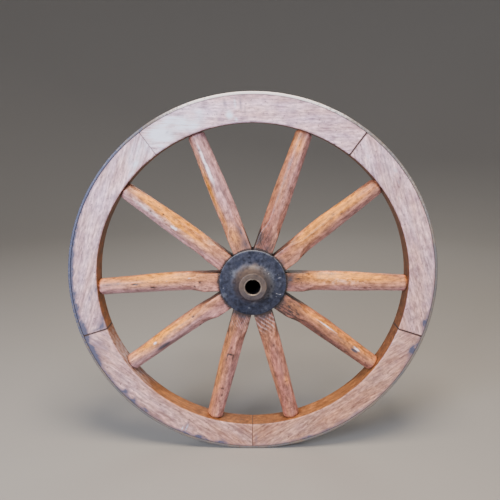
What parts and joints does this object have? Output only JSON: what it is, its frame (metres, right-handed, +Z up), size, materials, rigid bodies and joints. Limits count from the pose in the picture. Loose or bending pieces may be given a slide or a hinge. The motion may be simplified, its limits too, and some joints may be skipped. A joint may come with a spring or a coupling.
{
  "type": "wheelbarrow wheel",
  "caption": "Wooden spoked wheelbarrow wheel with jointed felloes, a shrunk iron tyre and a flanged iron hub with a plain axle bore.",
  "frame": {"origin": "centre of the wheel, on the axle's axis, midway between the hub's two end faces", "axes": "the axle runs along Y and the front of the wheel faces -Y, +Z is up, +X is to the right seen from the front"},
  "size_m": [0.61, 0.081, 0.61],
  "materials": {
    "felloe_wood": "old dry oiled wood",
    "spoke_wood": "worn varnish",
    "peg_wood": "bare wood",
    "tyre_iron": "dark worn iron",
    "hub_iron": "old blue-black paint, worn at the boss",
    "nut_iron": "old blue-black paint",
    "bush_steel": "worn bright"
  },
  "bodies": {
    "root": {"tyre": "tyre_iron", "felloe_1": "felloe_wood", "felloe_2": "felloe_wood", "felloe_3": "felloe_wood", "felloe_4": "felloe_wood", "felloe_5": "felloe_wood", "felloe_dowel_1": "peg_wood", "felloe_dowel_2": "peg_wood", "felloe_dowel_3": "peg_wood", "felloe_dowel_4": "peg_wood", "felloe_dowel_5": "peg_wood", "tongue_wedge_1": "peg_wood", "tongue_wedge_2": "peg_wood", "tongue_wedge_3": "peg_wood", "tongue_wedge_4": "peg_wood", "tongue_wedge_5": "peg_wood", "tongue_wedge_6": "peg_wood", "tongue_wedge_7": "peg_wood", "tongue_wedge_8": "peg_wood", "tongue_wedge_9": "peg_wood", "tongue_wedge_10": "peg_wood", "spoke_1": "spoke_wood", "spoke_2": "spoke_wood", "spoke_3": "spoke_wood", "spoke_4": "spoke_wood", "spoke_5": "spoke_wood", "spoke_6": "spoke_wood", "spoke_7": "spoke_wood", "spoke_8": "spoke_wood", "spoke_9": "spoke_wood", "spoke_10": "spoke_wood", "hub_casting": "hub_iron", "hub_rear_flange": "hub_iron", "hub_ring_nut": "nut_iron", "axle_bush": "bush_steel"}
  },
  "joints": []
}
